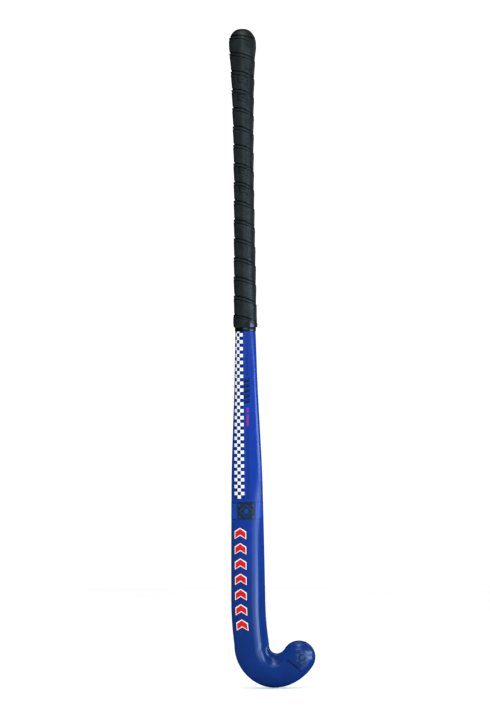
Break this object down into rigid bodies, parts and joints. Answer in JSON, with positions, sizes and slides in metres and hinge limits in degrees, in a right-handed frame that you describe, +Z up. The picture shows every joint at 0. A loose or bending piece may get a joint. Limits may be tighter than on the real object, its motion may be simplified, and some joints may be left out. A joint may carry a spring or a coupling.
{
  "type": "field hockey stick",
  "caption": "Bowed composite field hockey stick with a tight J-shaped head, flat playing face, rounded back, wound grip, butt cap and film decals.",
  "frame": {"origin": "on the handle's axis at the middle of the wound grip, where the stick is held", "axes": "+Z up the handle toward the butt cap, +X toward the toe of the head, +Y out of the flat playing face"},
  "size_m": [0.1178, 0.0673, 0.9269],
  "materials": {
    "blue_lacquer": "clear-coated lacquer over glass-fibre laminate",
    "core_foam": "closed-cell polyurethane foam",
    "head_filler": "dense filled foam",
    "aramid_ply": "woven aramid in resin",
    "plug_plastic": "moulded nylon",
    "cap_rubber": "satin moulded rubber",
    "grip_tape": "tacky polyurethane with a soft sheen",
    "finish_vinyl": "glossy vinyl tape",
    "white_film": "lacquered film",
    "navy_film": "lacquered film",
    "black_film": "lacquered film",
    "red_film": "lacquered film"
  },
  "bodies": {
    "root": {"moulded_shell": "blue_lacquer", "shaft_foam_core": "core_foam", "head_core": "head_filler", "face_reinforcing_ply": "aramid_ply", "end_plug": "plug_plastic", "butt_cap": "cap_rubber", "butt_flare_collar": "core_foam", "grip_tape": "grip_tape", "finish_tape": "finish_vinyl", "finish_tape_tab": "finish_vinyl", "check_strip_decal": "white_film", "upper_pin_stripe_decal": "navy_film", "slash_block_decal": "black_film", "red_dash_decal": "red_film", "lower_pin_stripe_decal": "navy_film", "red_mark_1_decal": "red_film", "red_mark_2_decal": "red_film", "red_mark_3_decal": "red_film", "red_mark_4_decal": "red_film", "red_mark_5_decal": "red_film", "red_mark_6_decal": "red_film", "red_mark_7_decal": "red_film", "lower_band_line_decal": "black_film", "upper_band_line_decal": "black_film", "collar_band_decal": "navy_film", "collar_badge_decal": "black_film", "toe_badge_decal": "black_film", "toe_dash_row_decal": "black_film"}
  },
  "joints": []
}
